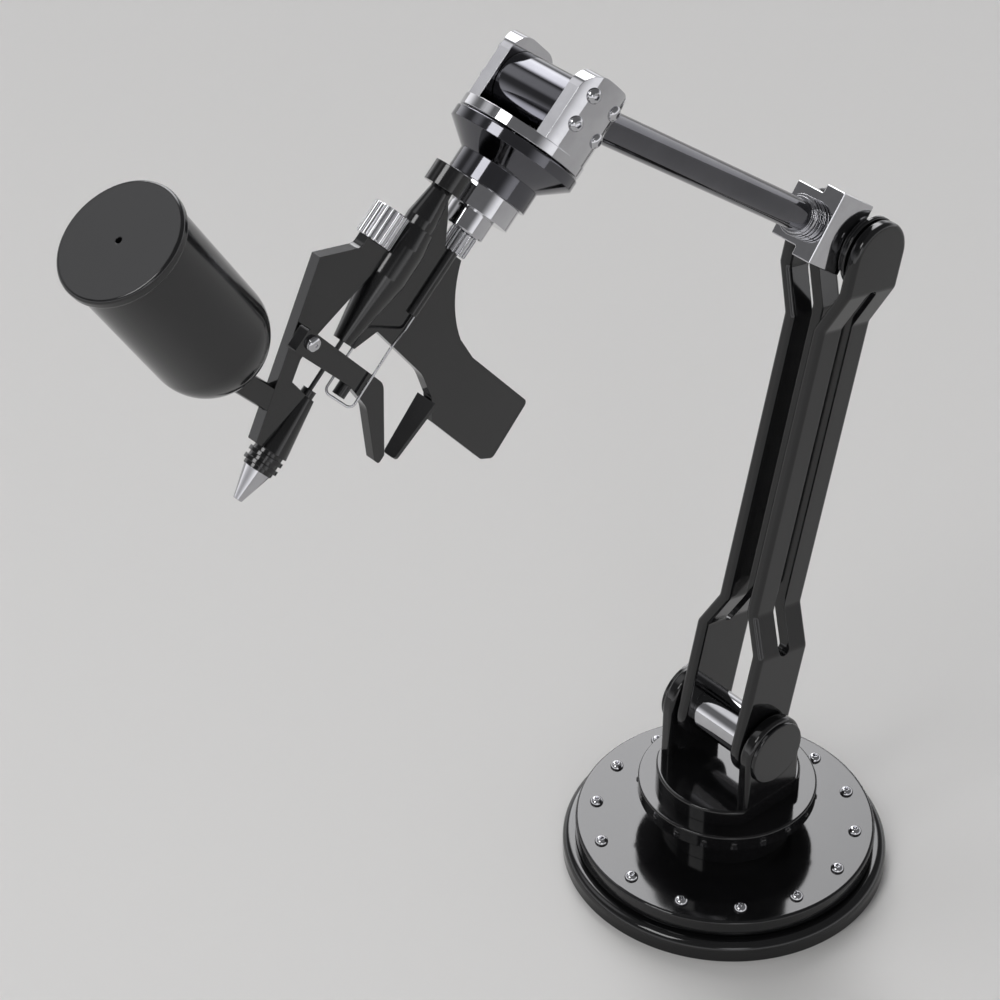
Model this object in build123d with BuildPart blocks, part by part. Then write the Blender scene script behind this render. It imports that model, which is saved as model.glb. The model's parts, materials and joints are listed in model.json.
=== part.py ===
"""Spray-painting robot arm: bolted base, turntable, cranked two-plate arm, tube forearm, yoke wrist and spray gun.

Millimetres, Z up. The origin is the centre of the base's underside, +X is the way the arm reaches and
+Y runs along the joint pins. The arm stands in its working pose with the gun aimed forward and down.
"""
import math
import os

from build123d import *

# Base: a rounded lower disc, an upper bolting disc and a narrow neck
base_radius = 130.0
base_height = 16.0
base_edge_radius = 7.0
base_step = 10.0
flange_height = 16.0
flange_edge_radius = 2.5
groove_depth = 2.5
groove_height = 2.5
bolt_inset = 16.0
bolt_count = 14
bolt_hole_radius = 4.5
neck_radius = 54.0
neck_height = 28.4
spindle_radius = 22.0

# Turntable: collar, drum with two flats and a clevis of two ears
collar_radius = 71.0
collar_gap = 0.6
collar_height = 14.0
collar_edge_radius = 1.5
drum_radius = 57.0
drum_height = 14.0
drum_edge_radius = 2.0
ear_outer_y = 48.0
ear_thickness = 11.5
ear_half_width = 29.0
ear_edge_radius = 3.5
shoulder_rise = 44.0
cap_radius = 26.5
cap_thickness = 3.0
cap_edge_radius = 1.2
running_fit = 0.05
face_gap = 0.5

# Lower arm: two cranked plates joined by the shoulder axle and the elbow pin
arm_lean_deg = 12.59
arm_length = 416.0
plate_thickness = 10.2
plate_half_width = 27.0
plate_end_y = 24.3
plate_mid_y = 9.3
plate_edge_radius = 3.6
lower_crank_start = 83.0
lower_crank_end = 114.0
upper_crank_start = 61.5
upper_crank_end = 27.0
crank_radius = 7.0
slot_width = 12.0
slot_low = 80.5
slot_high = 26.0
axle_radius = 19.5
axle_pin_radius = 12.0
elbow_pin_radius = 11.0
elbow_pin_depth = 7.0

# Forearm: elbow block, cheeks, ringed collar and tube, barrel of the wrist
forearm_deg = 37.28
forearm_offset = 1.9
forearm_length = 371.5
block_front = 58.2
block_back = 18.2
block_half_width = 20.4
block_top = 21.7
block_bottom = 20.0
web_inner_y = 3.5
web_top = 28.5
web_bottom = 26.5
block_edge = 0.6
hub_radius = 20.0
cheek_radius = 27.4
cheek_thickness = 3.0
cheek_edge_radius = 1.4
tube_radius = 11.8
ring_radius = 15.4
ring_root_radius = 13.4
ring_count = 3
ring_pitch = 4.2
barrel_radius = 21.0
barrel_half_length = 26.4
wrist_pin_radius = 8.0
wrist_pin_depth = 8.0

# Wrist yoke turned from round bar
yoke_radius = 43.0
yoke_inner_y = 27.0
yoke_half_width = 23.5
yoke_head = 27.8
yoke_corner_radius = 15.0
yoke_disc_radius = 43.7
yoke_disc_top = 24.0
yoke_disc_bottom = 31.6
disc_edge_radius = 1.2
roll_spindle_radius = 14.0
roll_spindle_depth = 6.0

# Tool flange with its cone, neck and bright coupling
tool_drop_deg = 42.36
roll_gap = 0.8
tool_disc_height = 7.8
tool_disc_radius = 44.4
tool_cone_height = 12.8
tool_cone_radius = 28.5
tool_neck_radius = 28.0
tool_neck_height = 15.0
ring_one_radius = 24.8
ring_one_height = 15.0
ring_two_radius = 15.3
ring_two_height = 14.0
ring_edge_chamfer = 0.8

# Spray gun: stations along the tool axis from the wrist pin and offsets across it
gun_axis_offset = 36.0
gun_collar_top = 70.0
gun_collar_bottom = 84.0
gun_collar_radius = 13.0
rear_cone_small = 7.0
rear_cone_large = 10.2
rear_cone_end = 106.0
rear_band_end = 112.0
body_back_radius = 11.6
body_belly_radius = 13.8
body_belly_start = 126.0
body_belly_end = 148.0
body_tip = 195.5
body_tip_radius = 6.2
frame_half_thickness = 4.0
knob_radius = 12.0
knob_top = 112.0
knob_bottom = 134.5
knob_offset = 63.5
knob_flute_count = 18
knob_flute_radius = 1.15
knob_edge_chamfer = 0.8
small_knob_radius = 9.4
small_knob_height = 14.5
small_knob_offset = -4.5
small_knob_flute_count = 16
needle_tube_offset = -0.45
needle_tube_y = 3.0
needle_tube_radius = 4.7
needle_tube_bottom = 158.0
needle_radius = 1.5
nozzle_boss_top = 231.0
nozzle_boss_radius = 4.6
nozzle_top = 236.0
nozzle_top_radius = 6.2
nozzle_bottom = 276.0
nozzle_bottom_radius = 12.0
air_cap_bottom = 290.0
air_cap_radius = 11.8
air_cap_waist_radius = 10.0
tip_top_radius = 9.3
tip_bottom = 312.0
tip_bottom_radius = 3.0
tip_mouth_radius = 1.6
tip_mouth_depth = 8.0

# Wedge plate under the cup: along and across of its corners
wedge_seat_inner = 44.0
wedge_seat_outer = 73.0
wedge_notch = 142.3
wedge_crown_along = 161.0
wedge_crown_across = 99.0
wedge_nose_across = 55.0
wedge_throat_along = 233.0
wedge_throat_across = 58.0
wedge_bay_along = 219.0
wedge_bay_across = 63.0
wedge_bay_back = 200.0
wedge_bay_low = 62.4
wedge_root_along = 140.0
wedge_root_across = 48.8
wedge_notch_radius = 6.0

# Handle plate: along and across of its corners, from the web beside the rear cone round to the body
web_top_along = 86.0
web_top_across = 31.0
web_waist_along = 99.4
web_waist_across = 18.0
web_foot_across = 7.0
handle_top = 112.4
handle_back_across = -12.6
handle_waist_along = 134.6
handle_waist_across = -28.8
handle_heel_along = 153.0
handle_heel_across = -55.5
handle_hip_along = 158.0
handle_hip_across = -76.0
handle_butt_along = 161.0
handle_butt_across = -150.0
handle_toe_along = 205.0
handle_toe_across = -152.5
handle_lip_along = 210.0
handle_lip_across = -142.0
handle_palm_along = 207.0
handle_palm_across = -78.0
handle_guard_along = 194.0
handle_guard_across = -63.0
handle_throat_along = 185.2
handle_throat_across = -43.0
handle_front_along = 178.6
handle_front_across = 17.3
handle_tip_across = 26.5
handle_corner_radius = 4.0
handle_throat_radius = 30.0

# Finger guard: a thin tongue out of the handle's front
guard_along = 196.0
guard_across = -65.4
guard_length = 44.0
guard_root_half_width = 8.6
guard_tip_half_width = 5.3
guard_half_thickness = 1.5
guard_tip_radius = 2.5

# Paint cup, lid and neck
cup_foot_share = 0.765
cup_foot_rise = 6.0
cup_tilt_deg = 10.4
cup_neck_radius = 7.75
cup_neck_length = 33.0
cup_neck_sink = 9.0
cup_radius = 37.9
cup_length = 132.4
cup_wall = 2.0
lid_radius = 40.8
lid_height = 9.0
lid_rim_radius = 2.2
lid_skirt_height = 1.6
lid_skirt_inset = 1.0
vent_radius = 2.2

# Trigger, its pin and the return wire
trigger_pin_along = 206.5
trigger_pin_across = 75.0
trigger_inner_y = 7.0
trigger_thickness = 8.0
trigger_pin_radius = 3.0
pin_shoulder_radius = 5.5
pin_head_radius = 5.0
pin_head_height = 1.6
pin_head_gap = 0.3
trigger_head_back = 200.0
trigger_head_front = 216.5
trigger_head_across = 84.0
trigger_elbow_front = 216.2
trigger_elbow_across = 24.0
trigger_knee_along = 221.3
trigger_knee_across = -1.0
trigger_knee_radius = 18.0
trigger_belly_along = 247.2
trigger_belly_across = -36.6
trigger_tip_along = 247.4
trigger_tip_across = -41.6
trigger_heel_along = 240.8
trigger_back_along = 203.2
trigger_back_across = -2.0
trigger_back_radius = 12.0
trigger_corner_radius = 1.8
post_across = 23.5
post_length = 8.6
post_radius = 4.4
wire_radius = 0.9
wire_start_across = -2.0
wire_start_y = 5.6
wire_step_along = 180.0
wire_step_across = 14.2
wire_y = 17.4
wire_bend_along = 227.5
wire_bend_across = 13.4
wire_inner_across = 27.6
wire_inner_y = 3.0
wire_lead = 10.0
wire_bend_radius = 4.0
cut_overrun = 1.0

half_share = 0.5
axis_share = 0.999
diagonal_share = math.sqrt(half_share)

os.makedirs("parts", exist_ok=True)

flange_radius = base_radius - base_step
bolt_circle_radius = flange_radius - bolt_inset
flange_top = base_height + flange_height
neck_top = flange_top + neck_height
collar_bottom = neck_top + collar_gap
collar_top = collar_bottom + collar_height
drum_top = collar_top + drum_height
shoulder_height = drum_top + shoulder_rise
tool_disc_top = yoke_disc_bottom + roll_gap
tool_disc_bottom = tool_disc_top + tool_disc_height
tool_cone_bottom = tool_disc_bottom + tool_cone_height
tool_neck_bottom = tool_cone_bottom + tool_neck_height
ring_one_bottom = tool_neck_bottom + ring_one_height
ring_two_bottom = ring_one_bottom + ring_two_height
small_knob_bottom = ring_two_bottom + small_knob_height
trigger_outer_y = trigger_inner_y + trigger_thickness

lean = math.radians(arm_lean_deg)
rise = math.radians(forearm_deg)
drop = math.radians(tool_drop_deg)
tilt = math.radians(cup_tilt_deg)
arm_dir = Vector(-math.sin(lean), 0, math.cos(lean))
arm_across = Vector(-math.cos(lean), 0, -math.sin(lean))
fore_dir = Vector(math.cos(rise), 0, math.sin(rise))
fore_up = Vector(-math.sin(rise), 0, math.cos(rise))
tool_dir = Vector(math.cos(drop), 0, -math.sin(drop))
tool_across = Vector(math.sin(drop), 0, math.cos(drop))
shoulder = Vector(0, 0, shoulder_height)
elbow = shoulder + arm_dir * arm_length
tube_origin = elbow + fore_up * forearm_offset
wrist = tube_origin + fore_dir * forearm_length
gun_origin = wrist + tool_across * gun_axis_offset
gun_axis = Axis(gun_origin, tool_dir)


def side_plane(origin, along, y):
    """Plane at height y across the pins; its x runs along the given way and its normal is -Y."""
    return Plane(origin=(origin.X, y, origin.Z), x_dir=along, z_dir=(0, -1, 0))


def tool_plane(station, across=0.0, y=0.0):
    """Plane square to the tool axis at a station from the wrist pin."""
    origin = wrist + tool_dir * station + tool_across * across + Vector(0, y, 0)
    return Plane(origin=origin, x_dir=tool_across, z_dir=tool_dir)


def fore_plane(station):
    """Plane square to the forearm tube at a station from the elbow; its y runs up."""
    return Plane(origin=tube_origin + fore_dir * station, x_dir=(0, 1, 0), z_dir=fore_dir)


def pin_plane(origin, y):
    """Plane square to the joint pins at height y, facing +Y."""
    return Plane(origin=(origin.X, y, origin.Z), x_dir=(1, 0, 0), z_dir=(0, 1, 0))


def gun_point(along, across, y):
    """Point of the gun at a station, an offset across and a height along the pins."""
    return wrist + tool_dir * along + tool_across * across + Vector(0, y, 0)


def save(part, label):
    part.label = label
    export_step(part, "parts/" + label + ".step")


# Base disc, rounded all round its upper edge
with BuildPart() as base_disc:
    with BuildSketch(Plane.XY):
        Circle(base_radius)
    extrude(amount=base_height)
    fillet(base_disc.faces().sort_by(Axis.Z)[-1].edges(), radius=base_edge_radius)
    with PolarLocations(bolt_circle_radius, bolt_count):
        Hole(bolt_hole_radius, depth=base_height + cut_overrun)
save(base_disc.part, "base_disc")

# Bolting disc on it, with a shadow groove at its foot
with BuildPart() as base_flange:
    with BuildSketch(Plane.XY.offset(base_height)):
        Circle(flange_radius)
    extrude(amount=flange_height)
    fillet(base_flange.faces().sort_by(Axis.Z)[-1].edges(), radius=flange_edge_radius)
    with BuildSketch(Plane.XY.offset(base_height)):
        Circle(flange_radius + cut_overrun)
        Circle(flange_radius - groove_depth, mode=Mode.SUBTRACT)
    extrude(amount=groove_height, mode=Mode.SUBTRACT)
    with PolarLocations(bolt_circle_radius, bolt_count):
        Hole(bolt_hole_radius, depth=flange_top + cut_overrun)
save(base_flange.part, "base_flange")

# Neck with the spindle that the turntable runs on
with BuildPart() as base_neck:
    with BuildSketch(Plane.XY.offset(flange_top)):
        Circle(neck_radius)
    extrude(amount=neck_height)
    with BuildSketch(Plane.XY.offset(neck_top)):
        Circle(spindle_radius)
    extrude(amount=collar_top - neck_top - face_gap)
save(base_neck.part, "base_neck")

# Turntable collar running on the spindle
with BuildPart() as turntable_collar:
    with BuildSketch(Plane.XY.offset(collar_bottom)):
        Circle(collar_radius)
        Circle(spindle_radius + running_fit, mode=Mode.SUBTRACT)
    extrude(amount=collar_height)
    fillet(turntable_collar.edges().filter_by(GeomType.CIRCLE).sort_by(SortBy.RADIUS)[-2:],
           radius=collar_edge_radius)
save(turntable_collar.part, "turntable_collar")

# Drum with a flat on either side in line with the ears
with BuildPart() as turntable_drum:
    with BuildSketch(Plane.XY.offset(collar_top)):
        Circle(drum_radius)
        Rectangle(drum_radius + drum_radius, ear_outer_y + ear_outer_y, mode=Mode.INTERSECT)
    extrude(amount=drum_height)
    rounds = turntable_drum.faces().sort_by(Axis.Z)[-1].edges().filter_by(GeomType.CIRCLE)
    fillet(rounds, radius=drum_edge_radius)
save(turntable_drum.part, "turntable_drum")


# Clevis ears with round heads; the same form serves both sides
def make_ear(side, label):
    with BuildPart() as ear:
        with BuildSketch(side_plane(shoulder, Vector(0, 0, 1), side * ear_outer_y)):
            with Locations((-shoulder_rise * half_share, 0)):
                Rectangle(shoulder_rise, ear_half_width + ear_half_width)
            Circle(ear_half_width)
        extrude(amount=side * ear_thickness)
        rims = ear.faces().filter_by(Axis.Y).edges()
        fillet(rims.filter_by(lambda e: e.center().Z > drum_top + cut_overrun), radius=ear_edge_radius)
        with BuildSketch(pin_plane(shoulder, 0)):
            Circle(axle_pin_radius + running_fit)
        extrude(amount=ear_outer_y + cut_overrun, both=True, mode=Mode.SUBTRACT)
    save(ear.part, label)


make_ear(1, "shoulder_ear_near")
make_ear(-1, "shoulder_ear_far")


# Round cap closing each end of the axle
def make_cap(side, label):
    with BuildPart() as cap:
        with BuildSketch(pin_plane(shoulder, side * ear_outer_y)):
            Circle(cap_radius)
        extrude(amount=side * cap_thickness)
        outer = cap.faces().sort_by(Axis.Y)[-1 if side > 0 else 0]
        fillet(outer.edges(), radius=cap_edge_radius)
    save(cap.part, label)


make_cap(1, "axle_cap_near")
make_cap(-1, "axle_cap_far")


# Cranked arm plate: a bent strip trimmed to round ends, its edges rounded, with one long slot
def make_arm_plate(side, label):
    start = -plate_half_width - cut_overrun
    end = arm_length + plate_half_width + cut_overrun
    stations = [start, lower_crank_start, lower_crank_end,
                arm_length - upper_crank_start, arm_length - upper_crank_end, end]
    inner = [plate_end_y, plate_end_y, plate_mid_y, plate_mid_y, plate_end_y, plate_end_y]
    outer = [y + plate_thickness for y in inner]
    loop = [(x, side * y) for x, y in zip(stations, inner)]
    loop += [(x, side * y) for x, y in zip(reversed(stations), reversed(outer))]
    reach = plate_end_y + plate_thickness + cut_overrun
    with BuildPart() as plate:
        with BuildSketch(Plane(origin=shoulder, x_dir=arm_dir, z_dir=arm_across)) as strip:
            with BuildLine():
                Polyline(*loop, close=True)
            make_face()
            bends = [v for v in strip.vertices() if start + cut_overrun < v.X < end - cut_overrun]
            fillet(bends, radius=crank_radius)
        extrude(amount=plate_half_width + cut_overrun, both=True)
        with BuildSketch(side_plane(shoulder, arm_dir, 0)):
            with Locations((arm_length * half_share, 0)):
                SlotCenterToCenter(arm_length, plate_half_width + plate_half_width)
        extrude(amount=reach, both=True, mode=Mode.INTERSECT)
        rims = [e for e in plate.edges()
                if not (e.geom_type == GeomType.LINE
                        and (abs((e % half_share).Y) > axis_share
                             or abs((e % half_share).dot(arm_across)) > axis_share))]
        fillet(rims, radius=plate_edge_radius)
        with BuildSketch(side_plane(shoulder, arm_dir, 0)):
            slot_length = arm_length - slot_low - slot_high - slot_width
            with Locations((slot_low + (slot_width + slot_length) * half_share, 0)):
                SlotCenterToCenter(slot_length, slot_width)
            Circle(axle_pin_radius)
        extrude(amount=reach, both=True, mode=Mode.SUBTRACT)
        with BuildSketch(pin_plane(elbow, 0)):
            Circle(elbow_pin_radius)
        extrude(amount=plate_end_y + elbow_pin_depth, both=True, mode=Mode.SUBTRACT)
    save(plate.part, label)


make_arm_plate(1, "arm_plate_near")
make_arm_plate(-1, "arm_plate_far")

# Shoulder axle: thick between the plates, stepped down to run in the ears
with BuildPart() as shoulder_axle:
    with BuildSketch(pin_plane(shoulder, 0)):
        Circle(axle_radius)
    extrude(amount=plate_end_y, both=True)
    with BuildSketch(pin_plane(shoulder, 0)):
        Circle(axle_pin_radius)
    extrude(amount=ear_outer_y - face_gap, both=True)
save(shoulder_axle.part, "shoulder_axle")

# Elbow pin pressed into blind bores of both plates
with BuildPart() as elbow_pin:
    with BuildSketch(pin_plane(elbow, 0)):
        Circle(elbow_pin_radius)
    extrude(amount=plate_end_y + elbow_pin_depth, both=True)
save(elbow_pin.part, "elbow_pin")

# Elbow block: square head, one tall web on the near side and the hub on the pin
with BuildPart() as elbow_block:
    with BuildSketch(fore_plane(block_back)):
        with Locations((0, (block_top - block_bottom) * half_share)):
            Rectangle(block_half_width + block_half_width, block_top + block_bottom)
        with Locations(((web_inner_y + block_half_width) * half_share, (web_top - web_bottom) * half_share)):
            Rectangle(block_half_width - web_inner_y, web_top + web_bottom)
    extrude(amount=block_front - block_back)
    chamfer(elbow_block.edges(), length=block_edge)
    with BuildSketch(pin_plane(elbow, 0)):
        Circle(hub_radius)
    extrude(amount=block_half_width, both=True)
    with BuildSketch(pin_plane(elbow, 0)):
        Circle(elbow_pin_radius + running_fit)
    extrude(amount=block_half_width + cut_overrun, both=True, mode=Mode.SUBTRACT)
save(elbow_block.part, "elbow_block")


# Round cheek between the block and each plate
def make_cheek(side, label):
    with BuildPart() as cheek:
        with BuildSketch(pin_plane(elbow, side * block_half_width)):
            Circle(cheek_radius)
            Circle(elbow_pin_radius + running_fit, mode=Mode.SUBTRACT)
        extrude(amount=side * cheek_thickness)
        outer = cheek.faces().sort_by(Axis.Y)[-1 if side > 0 else 0]
        fillet(outer.edges().sort_by(SortBy.RADIUS)[-1:], radius=cheek_edge_radius)
    save(cheek.part, label)


make_cheek(1, "elbow_cheek_near")
make_cheek(-1, "elbow_cheek_far")

# Rings of the collar where the tube enters the block
with BuildPart() as tube_collar:
    for index in range(ring_count):
        ring_station = block_front + index * ring_pitch
        with BuildSketch(fore_plane(ring_station)):
            Circle(ring_root_radius)
            Circle(tube_radius, mode=Mode.SUBTRACT)
        extrude(amount=ring_pitch)
        with BuildSketch(fore_plane(ring_station)):
            Circle(ring_radius)
            Circle(tube_radius, mode=Mode.SUBTRACT)
        extrude(amount=ring_pitch * half_share)
save(tube_collar.part, "tube_collar")

# Forearm tube, cut to seat on the wrist barrel
with BuildPart() as forearm_tube:
    with BuildSketch(fore_plane(block_front)):
        Circle(tube_radius)
    extrude(amount=forearm_length - block_front)
    with BuildSketch(pin_plane(wrist, 0)):
        Circle(barrel_radius)
    extrude(amount=barrel_half_length, both=True, mode=Mode.SUBTRACT)
save(forearm_tube.part, "forearm_tube")

with BuildPart() as wrist_barrel:
    with BuildSketch(pin_plane(wrist, 0)):
        Circle(barrel_radius)
        Circle(wrist_pin_radius + running_fit, mode=Mode.SUBTRACT)
    extrude(amount=barrel_half_length, both=True)
save(wrist_barrel.part, "wrist_barrel")

# Wrist yoke: round-headed ears, turned to a round bar and standing on its disc
with BuildPart() as wrist_yoke:
    ear_foot = (yoke_disc_top + yoke_disc_bottom) * half_share
    with BuildSketch(side_plane(wrist, tool_dir, 0)) as head:
        with Locations(((ear_foot - yoke_head) * half_share, 0)):
            Rectangle(ear_foot + yoke_head, yoke_half_width + yoke_half_width)
        fillet([v for v in head.vertices() if v.X < 0], radius=yoke_corner_radius)
    extrude(amount=yoke_radius + cut_overrun, both=True)
    with BuildSketch(tool_plane(-yoke_head - cut_overrun)):
        Circle(yoke_radius)
    extrude(amount=yoke_head + yoke_disc_bottom + cut_overrun, mode=Mode.INTERSECT)
    with BuildSketch(side_plane(wrist, tool_dir, 0)):
        with Locations(((yoke_disc_top - yoke_head - cut_overrun) * half_share, 0)):
            Rectangle(yoke_disc_top + yoke_head + cut_overrun, yoke_radius + yoke_radius)
    extrude(amount=yoke_inner_y, both=True, mode=Mode.SUBTRACT)
    with BuildSketch(tool_plane(yoke_disc_top)):
        Circle(yoke_disc_radius)
    extrude(amount=yoke_disc_bottom - yoke_disc_top)
    chamfer(wrist_yoke.faces().sort_by(Axis(wrist, tool_dir))[-1].edges(), length=disc_edge_radius * half_share)
    with BuildSketch(tool_plane(yoke_disc_bottom)):
        Circle(roll_spindle_radius)
    extrude(amount=roll_spindle_depth)
    with BuildSketch(pin_plane(wrist, 0)):
        Circle(wrist_pin_radius)
    extrude(amount=yoke_inner_y + wrist_pin_depth, both=True, mode=Mode.SUBTRACT)
save(wrist_yoke.part, "wrist_yoke")

with BuildPart() as wrist_pin:
    with BuildSketch(pin_plane(wrist, 0)):
        Circle(wrist_pin_radius)
    extrude(amount=yoke_inner_y + wrist_pin_depth, both=True)
save(wrist_pin.part, "wrist_pin")

# Tool flange: rim, cone and neck, bored for the roll spindle
with BuildPart() as tool_flange:
    with BuildSketch(tool_plane(tool_disc_top)):
        Circle(tool_disc_radius)
    extrude(amount=tool_disc_height)
    fillet(tool_flange.faces().sort_by(Axis(wrist, tool_dir))[0].edges(), radius=disc_edge_radius)
    with BuildSketch(tool_plane(tool_disc_bottom)):
        Circle(tool_disc_radius)
    with BuildSketch(tool_plane(tool_cone_bottom)):
        Circle(tool_cone_radius)
    loft()
    with BuildSketch(tool_plane(tool_cone_bottom)):
        Circle(tool_neck_radius)
    extrude(amount=tool_neck_height)
    with BuildSketch(tool_plane(tool_disc_top)):
        Circle(roll_spindle_radius + running_fit)
    extrude(amount=roll_spindle_depth, mode=Mode.SUBTRACT)
save(tool_flange.part, "tool_flange")

# Bright coupling of two stepped rings that holds the gun's rear collar in its side
with BuildPart() as gun_coupling:
    with BuildSketch(tool_plane(tool_neck_bottom)):
        Circle(ring_one_radius)
    extrude(amount=ring_one_height)
    with BuildSketch(tool_plane(ring_one_bottom)):
        Circle(ring_two_radius)
    extrude(amount=ring_two_height)
    chamfer(gun_coupling.faces().sort_by(Axis(wrist, tool_dir))[-1].edges(), length=ring_edge_chamfer)
    with BuildSketch(tool_plane(gun_collar_top, gun_axis_offset)):
        Circle(gun_collar_radius)
    extrude(amount=gun_collar_bottom - gun_collar_top, mode=Mode.SUBTRACT)
save(gun_coupling.part, "gun_coupling")

with BuildPart() as gun_collar:
    with BuildSketch(tool_plane(gun_collar_top, gun_axis_offset)):
        Circle(gun_collar_radius)
    extrude(amount=gun_collar_bottom - gun_collar_top)
save(gun_collar.part, "gun_collar")


# Pieces of the gun turned about its own axis, from stations and radii
def half_section(stations):
    """Face of a turned piece's half outline, closed on the gun axis."""
    outline = [(stations[0][0], 0)] + stations + [(stations[-1][0], 0)]
    with BuildSketch(Plane(origin=gun_origin, x_dir=tool_dir, z_dir=(0, -1, 0))) as section:
        with BuildLine():
            Polyline(*outline, close=True)
        make_face()
    return section.sketch


body_stations = [
    (gun_collar_bottom, rear_cone_small), (rear_cone_end, rear_cone_large), (rear_band_end, rear_cone_large),
    (rear_band_end, body_back_radius), (body_belly_start, body_belly_radius),
    (body_belly_end, body_belly_radius), (body_tip, body_tip_radius)]
with BuildPart() as gun_body:
    revolve(half_section(body_stations), axis=gun_axis)
save(gun_body.part, "gun_body")

nozzle_stations = [
    (nozzle_boss_top, nozzle_boss_radius), (nozzle_top, nozzle_boss_radius),
    (nozzle_top, nozzle_top_radius), (nozzle_bottom, nozzle_bottom_radius)]
with BuildPart() as gun_nozzle:
    revolve(half_section(nozzle_stations), axis=gun_axis)
save(gun_nozzle.part, "gun_nozzle")

# Grooved air cap: lands with grooves between
land_count = ring_count + ring_count - 1
land = (air_cap_bottom - nozzle_bottom) / land_count
cap_stations = []
for index in range(land_count):
    radius = air_cap_radius if index % 2 else air_cap_waist_radius
    cap_stations.append((nozzle_bottom + index * land, radius))
    cap_stations.append((nozzle_bottom + (index + 1) * land, radius))
with BuildPart() as gun_air_cap:
    revolve(half_section(cap_stations), axis=gun_axis)
save(gun_air_cap.part, "gun_air_cap")

# Spray tip with its mouth
with BuildPart() as gun_tip:
    revolve(half_section([(air_cap_bottom, tip_top_radius), (tip_bottom, tip_bottom_radius)]), axis=gun_axis)
    with BuildSketch(tool_plane(tip_bottom - tip_mouth_depth, gun_axis_offset)):
        Circle(tip_mouth_radius)
    extrude(amount=tip_mouth_depth + cut_overrun, mode=Mode.SUBTRACT)
save(gun_tip.part, "gun_tip")

with BuildPart() as gun_needle:
    with BuildSketch(tool_plane(body_tip, gun_axis_offset)):
        Circle(needle_radius)
    extrude(amount=nozzle_boss_top - body_tip)
save(gun_needle.part, "gun_needle")


# Flat frame of the gun in two plates cut round the body: the wedge under the cup and the handle behind
def wedge_face():
    """Side face of the wedge plate."""
    with BuildSketch(side_plane(wrist, tool_dir, 0)) as face:
        with BuildLine():
            Polyline((knob_bottom, wedge_seat_inner), (knob_bottom, wedge_seat_outer),
                     (wedge_notch, wedge_seat_outer), (wedge_crown_along, wedge_crown_across),
                     (nozzle_bottom, wedge_nose_across), (nozzle_bottom, gun_axis_offset),
                     (nozzle_top, gun_axis_offset), (wedge_throat_along, wedge_throat_across),
                     (wedge_bay_along, wedge_bay_across), (wedge_bay_back, wedge_bay_low),
                     (wedge_root_along, wedge_root_across), close=True)
        make_face()
        notch = [v for v in face.vertices() if abs(v.X - wedge_notch) < cut_overrun]
        fillet(notch, radius=wedge_notch_radius)
    return face.sketch


def handle_face():
    """Side face of the handle plate, with its hollowed back edge."""
    with BuildSketch(side_plane(wrist, tool_dir, 0)) as face:
        with BuildLine():
            ThreePointArc((handle_top, handle_back_across), (handle_waist_along, handle_waist_across),
                          (handle_heel_along, handle_heel_across))
            Polyline((handle_heel_along, handle_heel_across), (handle_hip_along, handle_hip_across),
                     (handle_butt_along, handle_butt_across), (handle_toe_along, handle_toe_across),
                     (handle_lip_along, handle_lip_across), (handle_palm_along, handle_palm_across),
                     (handle_guard_along, handle_guard_across), (handle_throat_along, handle_throat_across),
                     (handle_front_along, handle_front_across), (body_tip, handle_tip_across),
                     (body_tip, gun_axis_offset), (web_top_along, gun_axis_offset),
                     (web_top_along, web_top_across), (web_waist_along, web_waist_across),
                     (handle_top, web_foot_across), (handle_top, handle_back_across))
        make_face()
        corners = [v for v in face.vertices() if v.Y < handle_hip_across - handle_corner_radius]
        fillet(corners, radius=handle_corner_radius)
        throat = [v for v in face.vertices() if abs(v.Y - handle_throat_across) < running_fit]
        fillet(throat, radius=handle_throat_radius)
    return face.sketch


with BuildPart() as gun_wedge:
    extrude(wedge_face(), amount=frame_half_thickness, both=True)
    revolve(half_section(body_stations), axis=gun_axis, mode=Mode.SUBTRACT)
    revolve(half_section(nozzle_stations), axis=gun_axis, mode=Mode.SUBTRACT)
    with BuildSketch(side_plane(wrist, tool_dir, 0)):
        with Locations((trigger_pin_along, trigger_pin_across)):
            Circle(trigger_pin_radius)
    extrude(amount=frame_half_thickness + cut_overrun, both=True, mode=Mode.SUBTRACT)
save(gun_wedge.part, "gun_wedge")

with BuildPart() as gun_handle:
    extrude(handle_face(), amount=frame_half_thickness, both=True)
    revolve(half_section(body_stations), axis=gun_axis, mode=Mode.SUBTRACT)
    with BuildSketch(tool_plane(small_knob_bottom, needle_tube_offset, needle_tube_y)):
        Circle(needle_tube_radius)
    extrude(amount=needle_tube_bottom - small_knob_bottom, mode=Mode.SUBTRACT)
save(gun_handle.part, "gun_handle")


# Knurled knobs with straight flutes between chamfered ends
def make_knob(top, bottom, radius, across, flute_count, label):
    with BuildPart() as knob:
        with BuildSketch(tool_plane(top, across)):
            Circle(radius)
        extrude(amount=bottom - top)
        chamfer(knob.edges().filter_by(GeomType.CIRCLE), length=knob_edge_chamfer)
        with BuildSketch(tool_plane(top, across)):
            with PolarLocations(radius, flute_count):
                Circle(knob_flute_radius)
        extrude(amount=bottom - top, mode=Mode.SUBTRACT)
    save(knob.part, label)


make_knob(knob_top, knob_bottom, knob_radius, knob_offset, knob_flute_count, "fan_knob")
make_knob(ring_two_bottom, small_knob_bottom, small_knob_radius, small_knob_offset, small_knob_flute_count,
          "fluid_knob")

with BuildPart() as needle_tube:
    with BuildSketch(tool_plane(small_knob_bottom, needle_tube_offset, needle_tube_y)):
        Circle(needle_tube_radius)
    extrude(amount=needle_tube_bottom - small_knob_bottom)
save(needle_tube.part, "needle_tube")

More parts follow.
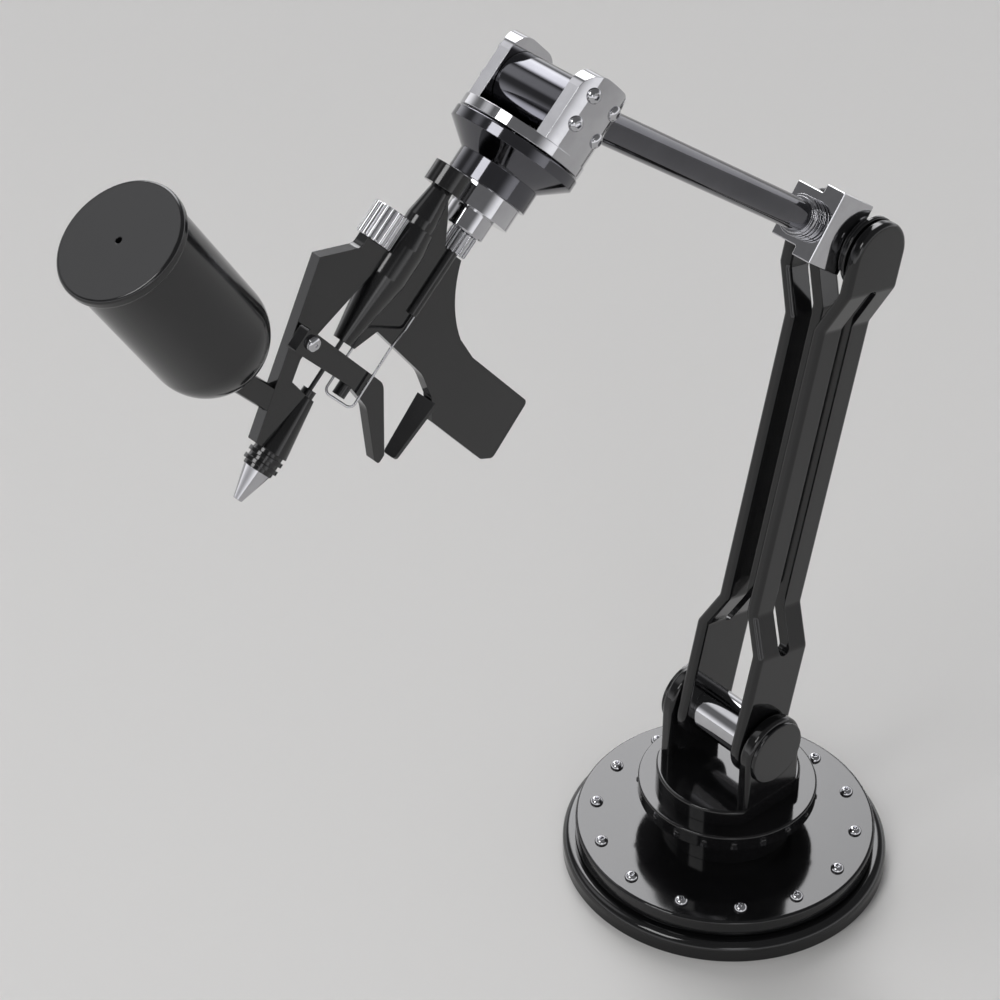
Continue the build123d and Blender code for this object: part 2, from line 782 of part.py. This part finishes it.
# Finger guard: a thin tapering tongue that straddles the handle's front edge
with BuildPart() as finger_guard:
    guard_origin = gun_point(guard_along, guard_across, 0)
    with BuildSketch(Plane(origin=guard_origin, x_dir=tool_dir, z_dir=tool_across)) as tongue:
        with BuildLine():
            Polyline((0, -guard_root_half_width), (guard_length, -guard_tip_half_width),
                     (guard_length, guard_tip_half_width), (0, guard_root_half_width), close=True)
        make_face()
        fillet([v for v in tongue.vertices() if v.X > guard_length * half_share], radius=guard_tip_radius)
    extrude(amount=guard_half_thickness, both=True)
    extrude(handle_face(), amount=frame_half_thickness, both=True, mode=Mode.SUBTRACT)
save(finger_guard.part, "finger_guard")

# Trigger pin: shank through the wedge, a shoulder that keeps the lever off it and a rivet head outside
with BuildPart() as trigger_pin:
    with BuildSketch(side_plane(wrist, tool_dir, -frame_half_thickness)):
        with Locations((trigger_pin_along, trigger_pin_across)):
            Circle(trigger_pin_radius)
    extrude(amount=-(frame_half_thickness + trigger_outer_y + pin_head_gap))
    with BuildSketch(side_plane(wrist, tool_dir, frame_half_thickness)):
        with Locations((trigger_pin_along, trigger_pin_across)):
            Circle(pin_shoulder_radius)
    extrude(amount=-(trigger_inner_y - frame_half_thickness - pin_head_gap))
    with BuildSketch(side_plane(wrist, tool_dir, trigger_outer_y + pin_head_gap)):
        with Locations((trigger_pin_along, trigger_pin_across)):
            Circle(pin_head_radius)
    extrude(amount=-pin_head_height)
    fillet(trigger_pin.faces().sort_by(Axis.Y)[-1].edges(), radius=pin_head_height * half_share)
save(trigger_pin.part, "trigger_pin")


# Trigger lever: straight arm from the pin, bent into the finger blade
def trigger_face():
    """Side face of the trigger lever at its near side."""
    with BuildSketch(side_plane(wrist, tool_dir, trigger_outer_y)) as face:
        with BuildLine():
            Polyline((trigger_head_back, trigger_head_across), (trigger_head_front, trigger_head_across),
                     (trigger_elbow_front, trigger_elbow_across), (trigger_knee_along, trigger_knee_across),
                     (trigger_belly_along, trigger_belly_across), (trigger_tip_along, trigger_tip_across),
                     (trigger_heel_along, trigger_tip_across), (trigger_back_along, trigger_back_across),
                     close=True)
        make_face()
        knee = [v for v in face.vertices() if abs(v.Y - trigger_knee_across) < running_fit]
        fillet(knee, radius=trigger_knee_radius)
        back = [v for v in face.vertices() if abs(v.Y - trigger_back_across) < running_fit]
        fillet(back, radius=trigger_back_radius)
        ends = [v for v in face.vertices()
                if v.Y > trigger_elbow_across + cut_overrun or v.Y < trigger_belly_across + running_fit]
        fillet(ends, radius=trigger_corner_radius)
    return face.sketch


with BuildPart() as gun_trigger:
    extrude(trigger_face(), amount=trigger_thickness)
    with BuildSketch(side_plane(wrist, tool_dir, 0)):
        with Locations((trigger_pin_along, trigger_pin_across)):
            Circle(trigger_pin_radius + running_fit)
    extrude(amount=-(trigger_outer_y + cut_overrun), mode=Mode.SUBTRACT)
save(gun_trigger.part, "gun_trigger")

# Post on the lever's front
with BuildPart() as trigger_post:
    post_y = trigger_inner_y + trigger_thickness * half_share
    with BuildSketch(tool_plane(trigger_elbow_front, post_across, post_y)):
        Circle(post_radius)
    extrude(amount=post_length)
    extrude(trigger_face(), amount=trigger_thickness, mode=Mode.SUBTRACT)
save(trigger_post.part, "trigger_post")

# Return wire from the needle tube, stepped out past the lever, round its front and back to the handle plate's tip
wire_points = [
    gun_point(needle_tube_bottom, wire_start_across, wire_start_y),
    gun_point(needle_tube_bottom + wire_lead, wire_start_across, wire_start_y),
    gun_point(wire_step_along, wire_step_across, wire_y),
    gun_point(wire_bend_along, wire_bend_across, wire_y),
    gun_point(wire_bend_along, wire_inner_across, wire_inner_y),
    gun_point(body_tip, wire_inner_across, wire_inner_y)]
with BuildPart() as return_wire:
    with BuildLine() as wire_path:
        FilletPolyline(*wire_points, radius=wire_bend_radius)
    with BuildSketch(Plane(origin=wire_path.line @ 0, z_dir=wire_path.line % 0)):
        Circle(wire_radius)
    sweep(path=wire_path.line)
save(return_wire.part, "return_wire")

# Cup and lid on one tilted axis that stands over the wedge's upper edge
cup_along = wedge_crown_along + (nozzle_bottom - wedge_crown_along) * cup_foot_share
cup_across = wedge_crown_across + (wedge_nose_across - wedge_crown_across) * cup_foot_share + cup_foot_rise
cup_foot = gun_point(cup_along, cup_across, 0)
cup_dir = tool_across * math.cos(tilt) - tool_dir * math.sin(tilt)
cup_axis = Axis(cup_foot, cup_dir)


def cup_level(height):
    """Plane square to the cup at a height above its foot."""
    return Plane(origin=cup_foot + cup_dir * height, x_dir=(0, 1, 0), z_dir=cup_dir)


cup_centre = cup_foot + cup_dir * (cup_neck_length + cup_radius)


def cup_section(radius, top):
    """Half outline of the round-bottomed cup, up to a height above the centre of its bowl."""
    across = Vector(0, 1, 0)
    with BuildSketch(Plane(origin=cup_centre, x_dir=across, z_dir=across.cross(cup_dir))) as section:
        with BuildLine():
            ThreePointArc((0, -radius), (radius * diagonal_share, -radius * diagonal_share), (radius, 0))
            Polyline((radius, 0), (radius, top), (0, top), (0, -radius))
        make_face()
    return section.sketch


# Neck with flats as thick as the wedge, square to the gun and fitted to the cup's bowl
with BuildPart() as cup_neck:
    neck_foot = gun_point(cup_along, cup_across - cup_neck_sink, 0)
    with BuildSketch(Plane(origin=neck_foot, x_dir=(0, 1, 0), z_dir=tool_across)):
        Circle(cup_neck_radius)
        Rectangle(frame_half_thickness + frame_half_thickness, cup_neck_radius + cup_neck_radius,
                  mode=Mode.INTERSECT)
    extrude(amount=cup_neck_sink + cup_neck_length + cup_neck_radius)
    extrude(wedge_face(), amount=frame_half_thickness + cut_overrun, both=True, mode=Mode.SUBTRACT)
    with Locations(cup_centre):
        Sphere(cup_radius, mode=Mode.SUBTRACT)
save(cup_neck.part, "cup_neck")

# Cup hollowed to its wall, open under the lid
with BuildPart() as paint_cup:
    revolve(cup_section(cup_radius, cup_length - cup_radius), axis=cup_axis)
    revolve(cup_section(cup_radius - cup_wall, cup_length - cup_radius + cut_overrun), axis=cup_axis,
            mode=Mode.SUBTRACT)
save(paint_cup.part, "paint_cup")

with BuildPart() as cup_lid:
    with BuildSketch(cup_level(cup_neck_length + cup_length + lid_skirt_height)):
        Circle(lid_radius)
    extrude(amount=lid_height - lid_skirt_height)
    fillet(cup_lid.edges().filter_by(GeomType.CIRCLE), radius=lid_rim_radius)
    with BuildSketch(cup_level(cup_neck_length + cup_length)):
        Circle(lid_radius - lid_rim_radius - lid_skirt_inset)
    extrude(amount=lid_skirt_height)
    with BuildSketch(cup_level(cup_neck_length + cup_length)):
        Circle(vent_radius)
    extrude(amount=lid_height + cut_overrun, mode=Mode.SUBTRACT)
save(cup_lid.part, "cup_lid")
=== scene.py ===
import json
import math

import bpy
from mathutils import Matrix, Vector


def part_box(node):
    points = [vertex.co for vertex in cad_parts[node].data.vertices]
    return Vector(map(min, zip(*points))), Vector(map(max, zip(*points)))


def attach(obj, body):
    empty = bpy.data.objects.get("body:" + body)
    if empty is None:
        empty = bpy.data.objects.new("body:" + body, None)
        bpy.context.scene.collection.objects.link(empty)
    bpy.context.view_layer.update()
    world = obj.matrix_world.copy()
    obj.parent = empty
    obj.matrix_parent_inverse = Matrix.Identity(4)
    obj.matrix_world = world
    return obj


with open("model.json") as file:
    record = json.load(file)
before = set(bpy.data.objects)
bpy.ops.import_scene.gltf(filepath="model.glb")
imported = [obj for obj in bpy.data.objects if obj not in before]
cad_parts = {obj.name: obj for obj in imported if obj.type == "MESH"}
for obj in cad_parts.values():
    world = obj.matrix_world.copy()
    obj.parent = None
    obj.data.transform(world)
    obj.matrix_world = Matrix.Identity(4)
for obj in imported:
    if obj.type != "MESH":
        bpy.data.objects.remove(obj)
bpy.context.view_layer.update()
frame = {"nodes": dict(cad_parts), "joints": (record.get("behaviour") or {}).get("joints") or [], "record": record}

# The base is a thick steel disc with a smaller bolting disc and a neck on top, all turned smooth and
# sprayed with black stoving enamel, which is baked to a deep wet gloss.
nodes = frame["nodes"]


def linear(code):
    """Linear colour of an sRGB hex code."""
    parts = [int(code[i:i + 2], 16) / 255 for i in (1, 3, 5)]
    return [c / 12.92 if c <= 0.04045 else ((c + 0.055) / 1.055) ** 2.4 for c in parts] + [1.0]


def add(tree, kind, links=None, **settings):
    """Adds a node with its settings, then its values or links by socket name or number."""
    made = tree.nodes.new(kind)
    for name, value in settings.items():
        setattr(made, name, value)
    for name, value in (links or {}).items():
        if isinstance(value, bpy.types.NodeSocket):
            tree.links.new(value, made.inputs[name])
        else:
            made.inputs[name].default_value = value
    return made


def surface(name, dark, light, roughness, metallic, ior, smear_mm, grain_mm, grain_depth_mm, edge_mm):
    """A hard bright surface: smears of handling shift its tone and gloss, over a fine grain."""
    material = bpy.data.materials.new(name)
    material.use_nodes = True
    tree = material.node_tree
    shader = tree.nodes["Principled BSDF"]
    place = add(tree, "ShaderNodeTexCoord").outputs["Object"]
    smear = add(tree, "ShaderNodeTexNoise", {
        "Vector": place, "Scale": 1000 / smear_mm, "Detail": 5.0, "Roughness": 0.6}).outputs["Fac"]
    grain = add(tree, "ShaderNodeTexNoise", {
        "Vector": place, "Scale": 1000 / grain_mm, "Detail": 2.0}).outputs["Fac"]
    tone = add(tree, "ShaderNodeMapRange", {
        "Value": smear, "From Min": 0.3, "From Max": 0.7, "To Min": 0.0, "To Max": 1.0}).outputs["Result"]
    colour = add(tree, "ShaderNodeMix", {"Factor": tone}, data_type="RGBA")
    colour.inputs["A"].default_value = linear(dark)
    colour.inputs["B"].default_value = linear(light)
    tree.links.new(next(s for s in colour.outputs if s.type == "RGBA"), shader.inputs["Base Color"])
    sheen = add(tree, "ShaderNodeMapRange", {
        "Value": smear, "From Min": 0.35, "From Max": 0.75,
        "To Min": roughness[0], "To Max": roughness[1]}).outputs["Result"]
    tree.links.new(sheen, shader.inputs["Roughness"])
    edge = add(tree, "ShaderNodeBevel", {"Radius": edge_mm / 1000}, samples=6).outputs["Normal"]
    bump = add(tree, "ShaderNodeBump", {
        "Height": grain, "Strength": 1.0, "Distance": grain_depth_mm / 1000,
        "Normal": edge}).outputs["Normal"]
    tree.links.new(bump, shader.inputs["Normal"])
    shader.inputs["Metallic"].default_value = metallic
    shader.inputs["IOR"].default_value = ior
    return material


def dress(material, slot, *names):
    """Gives CAD nodes their surface."""
    for name in names:
        piece = nodes[name]
        piece.data.materials.clear()
        piece.data.materials.append(material)


# Stoved enamel is a clear gloss over black: it mirrors the room weakly, and a trace of orange peel
# and of wiped smears keeps the mirror from being perfect.
black_enamel = surface(
    "black stoving enamel on turned steel", dark="#0f0f10", light="#161617", roughness=(0.07, 0.13),
    metallic=0.0, ior=1.52, smear_mm=60.0, grain_mm=3.0, grain_depth_mm=0.0012, edge_mm=0.7)
dress(black_enamel, "black_enamel", "base_disc", "base_flange", "base_neck")

# Fourteen button-head screws of bright steel hold the base down, one in each hole of the upper disc.
# Each head is turned, with a hexagon socket, and stands at its own angle, as it was tightened.
socket_sides = 6
head_segments = 48
dome_angles = (1.57, 1.45, 1.3, 1.1, 0.9, 0.7, 0.55)
rim_share = 0.06
lip_share = 1.06
lip_rise_share = 0.03
drill_share = 0.3
drill_depth_share = 1.15

# Chrome plate over ground steel is a clean, slightly cool mirror, which a little wear clouds unevenly.
chrome = surface(
    "polished chrome plate on ground steel", dark="#b6b6b9", light="#c4c4c7", roughness=(0.03, 0.09),
    metallic=1.0, ior=1.5, smear_mm=25.0, grain_mm=0.6, grain_depth_mm=0.0002, edge_mm=0.5)


def turned_head(name, radius, height, socket, depth):
    """Button head on its seat plane at z = 0: rings of radius, height and whether the ring is a hexagon."""
    rings = [(radius, 0.0, False)]
    for a in dome_angles:
        rings.append((radius * math.sin(a), height * math.cos(a) + height * rim_share, False))
    brim = rings[-1][1]
    rings += [(socket * lip_share, brim + height * lip_rise_share, True), (socket, brim, True)]
    rings.append((socket, height - depth, True))
    rings.append((socket * drill_share, height - depth * drill_depth_share, False))
    points, faces = [], []
    half_side = math.pi / socket_sides
    for r, z, hexagon in rings:
        for k in range(head_segments):
            a = 2 * math.pi * k / head_segments
            flat = math.cos(half_side) / math.cos((a % (2 * half_side)) - half_side) if hexagon else 1.0
            points.append((r * flat * math.cos(a), r * flat * math.sin(a), z))
    for i in range(len(rings) - 1):
        for k in range(head_segments):
            n = (k + 1) % head_segments
            faces.append((i * head_segments + k, i * head_segments + n,
                          (i + 1) * head_segments + n, (i + 1) * head_segments + k))
    last = (len(rings) - 1) * head_segments
    faces.append(list(range(last, last + head_segments)))
    faces.append(list(reversed(range(head_segments))))
    mesh = bpy.data.meshes.new(name)
    mesh.from_pydata(points, [], faces)
    mesh.shade_smooth()
    mesh.set_sharp_from_angle(angle=0.6)
    return bpy.data.objects.new(name, mesh)


def screw_set(name, pattern):
    """Geometry nodes that set a head on each point of a flat ring, a round rim or a wrapped grid."""
    tree = bpy.data.node_groups.new(name, "GeometryNodeTree")
    tree.interface.new_socket("Geometry", in_out="OUTPUT", socket_type="NodeSocketGeometry")
    for label, kind in (("Head", "Object"), ("Metal", "Material"), ("Count", "Int"), ("First", "Float"),
                        ("Radius", "Float"), ("Height", "Float"), ("Arc", "Float"), ("Along", "Float"),
                        ("Seed", "Int")):
        tree.interface.new_socket(label, in_out="INPUT", socket_type="NodeSocket" + kind)
    given = add(tree, "NodeGroupInput").outputs
    lift = add(tree, "ShaderNodeCombineXYZ", {"Z": given["Height"]}).outputs["Vector"]
    place = add(tree, "GeometryNodeInputPosition").outputs["Position"]
    if pattern == "wrapped grid":
        flat = add(tree, "GeometryNodeMeshGrid", {
            "Size X": given["Arc"], "Size Y": given["Along"],
            "Vertices X": 2, "Vertices Y": 2}).outputs["Mesh"]
        parts = add(tree, "ShaderNodeSeparateXYZ", {"Vector": place}).outputs
        angle = add(tree, "ShaderNodeMath", {0: parts["X"], 1: given["Radius"]}, operation="DIVIDE")
        sine = add(tree, "ShaderNodeMath", {0: angle.outputs["Value"]}, operation="SINE")
        cosine = add(tree, "ShaderNodeMath", {0: angle.outputs["Value"]}, operation="COSINE")
        aside = add(tree, "ShaderNodeMath", {
            0: sine.outputs["Value"], 1: given["Radius"]}, operation="MULTIPLY")
        ahead = add(tree, "ShaderNodeMath", {
            0: cosine.outputs["Value"], 1: given["Radius"]}, operation="MULTIPLY")
        wrapped = add(tree, "ShaderNodeCombineXYZ", {
            "X": aside.outputs["Value"], "Y": ahead.outputs["Value"], "Z": parts["Y"]}).outputs["Vector"]
        points = add(tree, "GeometryNodeSetPosition", {
            "Geometry": flat, "Position": wrapped, "Offset": lift}).outputs["Geometry"]
    else:
        ring = add(tree, "GeometryNodeMeshCircle", {"Vertices": given["Count"], "Radius": given["Radius"]})
        turn = add(tree, "ShaderNodeCombineXYZ", {"Z": given["First"]}).outputs["Vector"]
        points = add(tree, "GeometryNodeTransform", {
            "Geometry": ring.outputs["Mesh"], "Translation": lift, "Rotation": turn}).outputs["Geometry"]
    upright = (0.0, 0.0, 1.0) if pattern == "flat ring" else (1.0, 1.0, 0.0)
    axis = add(tree, "ShaderNodeVectorMath", {0: place, 1: upright}, operation="MULTIPLY").outputs["Vector"]
    aim = add(tree, "FunctionNodeAlignRotationToVector", {"Vector": axis}, axis="Z").outputs["Rotation"]
    spin = add(tree, "FunctionNodeRandomValue", {
        "Max": 2 * math.pi / socket_sides, "Seed": given["Seed"]}, data_type="FLOAT").outputs["Value"]
    own = add(tree, "ShaderNodeCombineXYZ", {"Z": spin}).outputs["Vector"]
    own = add(tree, "FunctionNodeEulerToRotation", {"Euler": own}).outputs["Rotation"]
    turned = add(tree, "FunctionNodeRotateRotation", {"Rotation": aim, "Rotate By": own},
                 rotation_space="LOCAL").outputs["Rotation"]
    head = add(tree, "GeometryNodeObjectInfo", {"Object": given["Head"]}).outputs["Geometry"]
    heads = add(tree, "GeometryNodeInstanceOnPoints", {
        "Points": points, "Instance": head, "Rotation": turned}).outputs["Instances"]
    real = add(tree, "GeometryNodeRealizeInstances", {"Geometry": heads}).outputs["Geometry"]
    dressed = add(tree, "GeometryNodeSetMaterial", {"Geometry": real, "Material": given["Metal"]})
    add(tree, "NodeGroupOutput", {"Geometry": dressed.outputs["Geometry"]})
    return tree


def screws(name, body, slot, tree, place, **values):
    """Runs a screw set once, keeps it as a plain mesh in place and fixes it to its body."""
    source = bpy.data.objects.new(name + " source", bpy.data.meshes.new(name + " source"))
    bpy.context.scene.collection.objects.link(source)
    layer = source.modifiers.new("screws", "NODES")
    layer.node_group = tree
    for item in tree.interface.items_tree:
        if item.in_out == "INPUT" and item.name in values:
            layer[item.identifier] = values[item.name]
    evaluated = source.evaluated_get(bpy.context.evaluated_depsgraph_get())
    mesh = bpy.data.meshes.new_from_object(evaluated)
    source.modifiers.clear()
    bpy.data.objects.remove(source)
    mesh.transform(place)
    made = bpy.data.objects.new(name, mesh)
    bpy.context.scene.collection.objects.link(made)
    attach(made, body)


bolts = next(m for m in frame["record"]["mounts"] if m["name"] == "base_bolts")["dims"]
base_head = turned_head("base screw head", radius=0.0053, height=0.0040, socket=0.0021, depth=0.0022)
flat_ring = screw_set("screws in a flat ring", "flat ring")
screws("base_screws", "base", "chrome_steel", flat_ring, Matrix.Identity(4), Head=base_head, Metal=chrome,
       Count=bolts["count"], First=0.0, Radius=bolts["pcd_mm"] / 2000,
       Height=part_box("base_flange")[1][2], Seed=3)

# The turntable is a turned collar and drum with two clevis ears welded on, in the same black enamel.
# A row of small button-head screws round the collar's rim, enamelled over, holds the bearing inside.
dress(black_enamel, "black_enamel", "turntable_collar", "turntable_drum", "shoulder_ear_near",
      "shoulder_ear_far", "axle_cap_near", "axle_cap_far")
rim_head = turned_head("rim screw head", radius=0.0022, height=0.0012, socket=0.0009, depth=0.0008)
collar_low, collar_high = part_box("turntable_collar")
round_rim = screw_set("screws round a rim", "round rim")
screws("rim_screws", "turntable", "black_enamel", round_rim, Matrix.Identity(4), Head=rim_head,
       Metal=black_enamel, Count=19, First=math.radians(49.3), Radius=collar_high[0],
       Height=(collar_low[2] + collar_high[2]) / 2, Seed=5)

# The lower arm is a pair of thick steel plates, slotted for lightness and pressed to a double crank, in
# black enamel, on a bright ground axle at the shoulder and a pin at the elbow.
dress(black_enamel, "black_enamel", "arm_plate_near", "arm_plate_far")
dress(chrome, "chrome_steel", "shoulder_axle", "elbow_pin")

# The elbow is a milled steel block with a ribbed clamp collar, in which the forearm's tube is held.
# Both are bright plated. The round cheeks beside the block are turned discs in black enamel.
dress(chrome, "chrome_steel", "elbow_block", "tube_collar")
dress(black_enamel, "black_enamel", "elbow_cheek_near", "elbow_cheek_far")

# The forearm's tube is drawn steel, and the barrel across its far end is turned from bar. Both are
# plated in black chrome, a smoky mirror that is greyer and deeper than the enamel.
black_chrome = surface(
    "black chrome plate on drawn steel", dark="#56565a", light="#606064", roughness=(0.06, 0.12),
    metallic=1.0, ior=1.5, smear_mm=40.0, grain_mm=0.8, grain_depth_mm=0.0002, edge_mm=0.5)
dress(black_chrome, "black_enamel", "forearm_tube", "wrist_barrel")

# The wrist is a milled yoke of bright plated steel on a blind pin. Four button-head screws on the round
# of each ear clamp the pin's bearing.
dress(chrome, "chrome_steel", "wrist_yoke", "wrist_pin")
wrist = next(j for j in frame["joints"] if j["name"] == "wrist_lift")
roll = next(j for j in frame["joints"] if j["name"] == "tool_roll")
tool_axis = Vector(roll["axis"])
across = Vector((0.0, 1.0, 0.0)).cross(tool_axis)
ear_head = turned_head("ear screw head", radius=0.0052, height=0.0038, socket=0.0023, depth=0.0022)
ear_round = 0.0427
ear_screws = screw_set("screws on a round ear", "wrapped grid")
for side, outward in (("near", 1.0), ("far", -1.0)):
    turned_to = Matrix((across * outward, Vector((0.0, outward, 0.0)), tool_axis)).transposed().to_4x4()
    on_ear = Matrix.Translation(wrist["pos_m"]) @ turned_to
    screws("ear_screws_" + side, "wrist", "chrome_steel", ear_screws, on_ear, Head=ear_head, Metal=chrome,
           Radius=ear_round, Arc=0.0258, Along=0.0203, Height=-0.0039, Seed=7)

# The tool flange is a turned disc and cone in black chrome that rolls on the yoke, with a bright
# stepped coupling below it that the gun is screwed into.
dress(black_chrome, "black_enamel", "tool_flange")
dress(chrome, "chrome_steel", "gun_coupling")

# The spray gun is turned and milled from aluminium, polished and anodised black, with bright plated
# knobs, tip, pivot pin and return wire. The cup is spun aluminium with a pressed lid.
# Sealed anodising is a hard satin gloss: its highlights are broader and softer than the enamel's.
black_anodised = surface(
    "black sealed anodising on polished aluminium", dark="#111112", light="#19191a", roughness=(0.1, 0.18),
    metallic=0.0, ior=1.55, smear_mm=30.0, grain_mm=1.2, grain_depth_mm=0.0006, edge_mm=0.6)
dress(black_anodised, "black_aluminium", "gun_collar", "gun_body", "gun_nozzle", "gun_air_cap", "gun_needle",
      "gun_wedge", "gun_handle", "needle_tube", "finger_guard", "cup_neck", "paint_cup", "cup_lid",
      "gun_trigger", "trigger_post")
dress(chrome, "chrome_steel", "gun_tip", "fan_knob", "fluid_knob", "trigger_pin", "return_wire")

# The trigger swings on a shoulder screw of bright plated steel. Its turned, domed head has a hexagon
# socket and covers the near end of the trigger's pin.
pin_low, pin_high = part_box("trigger_pin")
pin_middle = [(low + high) / 2 for low, high in zip(pin_low, pin_high)]
pivot_screw = turned_head("pivot_screw", radius=0.0049, height=0.0024, socket=0.0012, depth=0.0011)
at_pin_end = Matrix.Translation((pin_middle[0], pin_high[1], pin_middle[2]))
pivot_screw.data.transform(at_pin_end @ Matrix.Rotation(-math.pi / 2, 4, "X"))
pivot_screw.data.materials.append(chrome)
bpy.context.scene.collection.objects.link(pivot_screw)
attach(pivot_screw, "tool")

# The studio floor is a sheet of pale matt paper, laid flat under the arm and far past the picture's
# edges. Matt paper spreads the light, so it takes soft shadows and has no shine.
scene = bpy.context.scene
floor_mesh = bpy.data.meshes.new("studio floor")
reach = 9.0
floor_mesh.from_pydata([(-reach, -reach, 0), (reach, -reach, 0), (reach, reach, 0), (-reach, reach, 0)],
                       [], [(0, 1, 2, 3)])
floor = bpy.data.objects.new("studio floor", floor_mesh)
scene.collection.objects.link(floor)
paper = bpy.data.materials.new("matt studio paper")
paper.use_nodes = True
paper.node_tree.nodes["Principled BSDF"].inputs["Base Color"].default_value = linear("#dddcda")
paper.node_tree.nodes["Principled BSDF"].inputs["Roughness"].default_value = 0.9
floor_mesh.materials.append(paper)

# The room is bright along its skyline and dim above, with two large soft panels up the far side and a
# small one behind the camera, so that polished pieces show a light band, a dark ceiling and the floor.
skyline_strength = 1.45
ceiling_strength = 0.2
ceiling_rise = 0.42
world = bpy.data.worlds.new("studio")
scene.world = world
world.use_nodes = True
sky = world.node_tree
look = add(sky, "ShaderNodeTexCoord").outputs["Generated"]
rise = add(sky, "ShaderNodeSeparateXYZ", {"Vector": look}).outputs["Z"]
glow = add(sky, "ShaderNodeMapRange", {
    "Value": rise, "From Min": 0.0, "From Max": ceiling_rise, "To Min": skyline_strength,
    "To Max": ceiling_strength}, interpolation_type="SMOOTHSTEP").outputs["Result"]
# Each panel: the way to it, how far its even part and its soft edge reach in degrees, and its strength.
panels = (((-0.46, -0.66, 0.60), 9.0, 24.0, 6.2),
          ((0.27, -0.60, 0.75), 7.0, 19.0, 0.9),
          ((0.55, 0.75, 0.36), 3.0, 12.0, 2.2))
for toward, even, edge, strength in panels:
    off = add(sky, "ShaderNodeVectorMath", {0: look, 1: Vector(toward).normalized()}, operation="DOT_PRODUCT")
    panel = add(sky, "ShaderNodeMapRange", {
        "Value": off.outputs["Value"], "From Min": math.cos(math.radians(edge)),
        "From Max": math.cos(math.radians(even)), "To Min": 0.0, "To Max": strength},
        interpolation_type="SMOOTHSTEP").outputs["Result"]
    glow = add(sky, "ShaderNodeMath", {0: glow, 1: panel}, operation="ADD").outputs["Value"]
sky.links.new(glow, sky.nodes["Background"].inputs["Strength"])
sky.nodes["Background"].inputs["Color"].default_value = linear("#fdfdff")

# One square soft box hangs high on the side that the arm reaches to, aimed at the arm's middle. It
# gives the floor's shadow its direction and puts small bright patches on the round rims.
key_place = Vector((2.35, -0.15, 2.95))
key_aim = Vector((0.1, 0.0, 0.5))
key_data = bpy.data.lights.new("key soft box", "AREA")
key_data.energy = 28
key_data.size = 1.2
key = bpy.data.objects.new("key soft box", key_data)
key.location = key_place
key.rotation_euler = (key_aim - key_place).to_track_quat("-Z", "Y").to_euler()
scene.collection.objects.link(key)

# The camera stands where the photograph's stood. Its lens, its place and the three ways that it faces
# were solved from the rims of the base's discs and the ring of screws.
camera_place = (1.33176, 1.21752, 1.70772)
right = Vector((-0.7452, 0.6668, 0.0))
up = Vector((-0.4021, -0.4494, 0.7977))
ahead = Vector((-0.5319, -0.5944, -0.6031))
camera_data = bpy.data.cameras.new("camera")
camera_data.sensor_width = 36.0
camera_data.lens = 109.54
camera = bpy.data.objects.new("camera", camera_data)
facing = Matrix((right, up, -ahead)).transposed().to_4x4()
camera.matrix_world = Matrix.Translation(camera_place) @ facing
scene.collection.objects.link(camera)
scene.camera = camera
scene.view_settings.view_transform = "Standard"
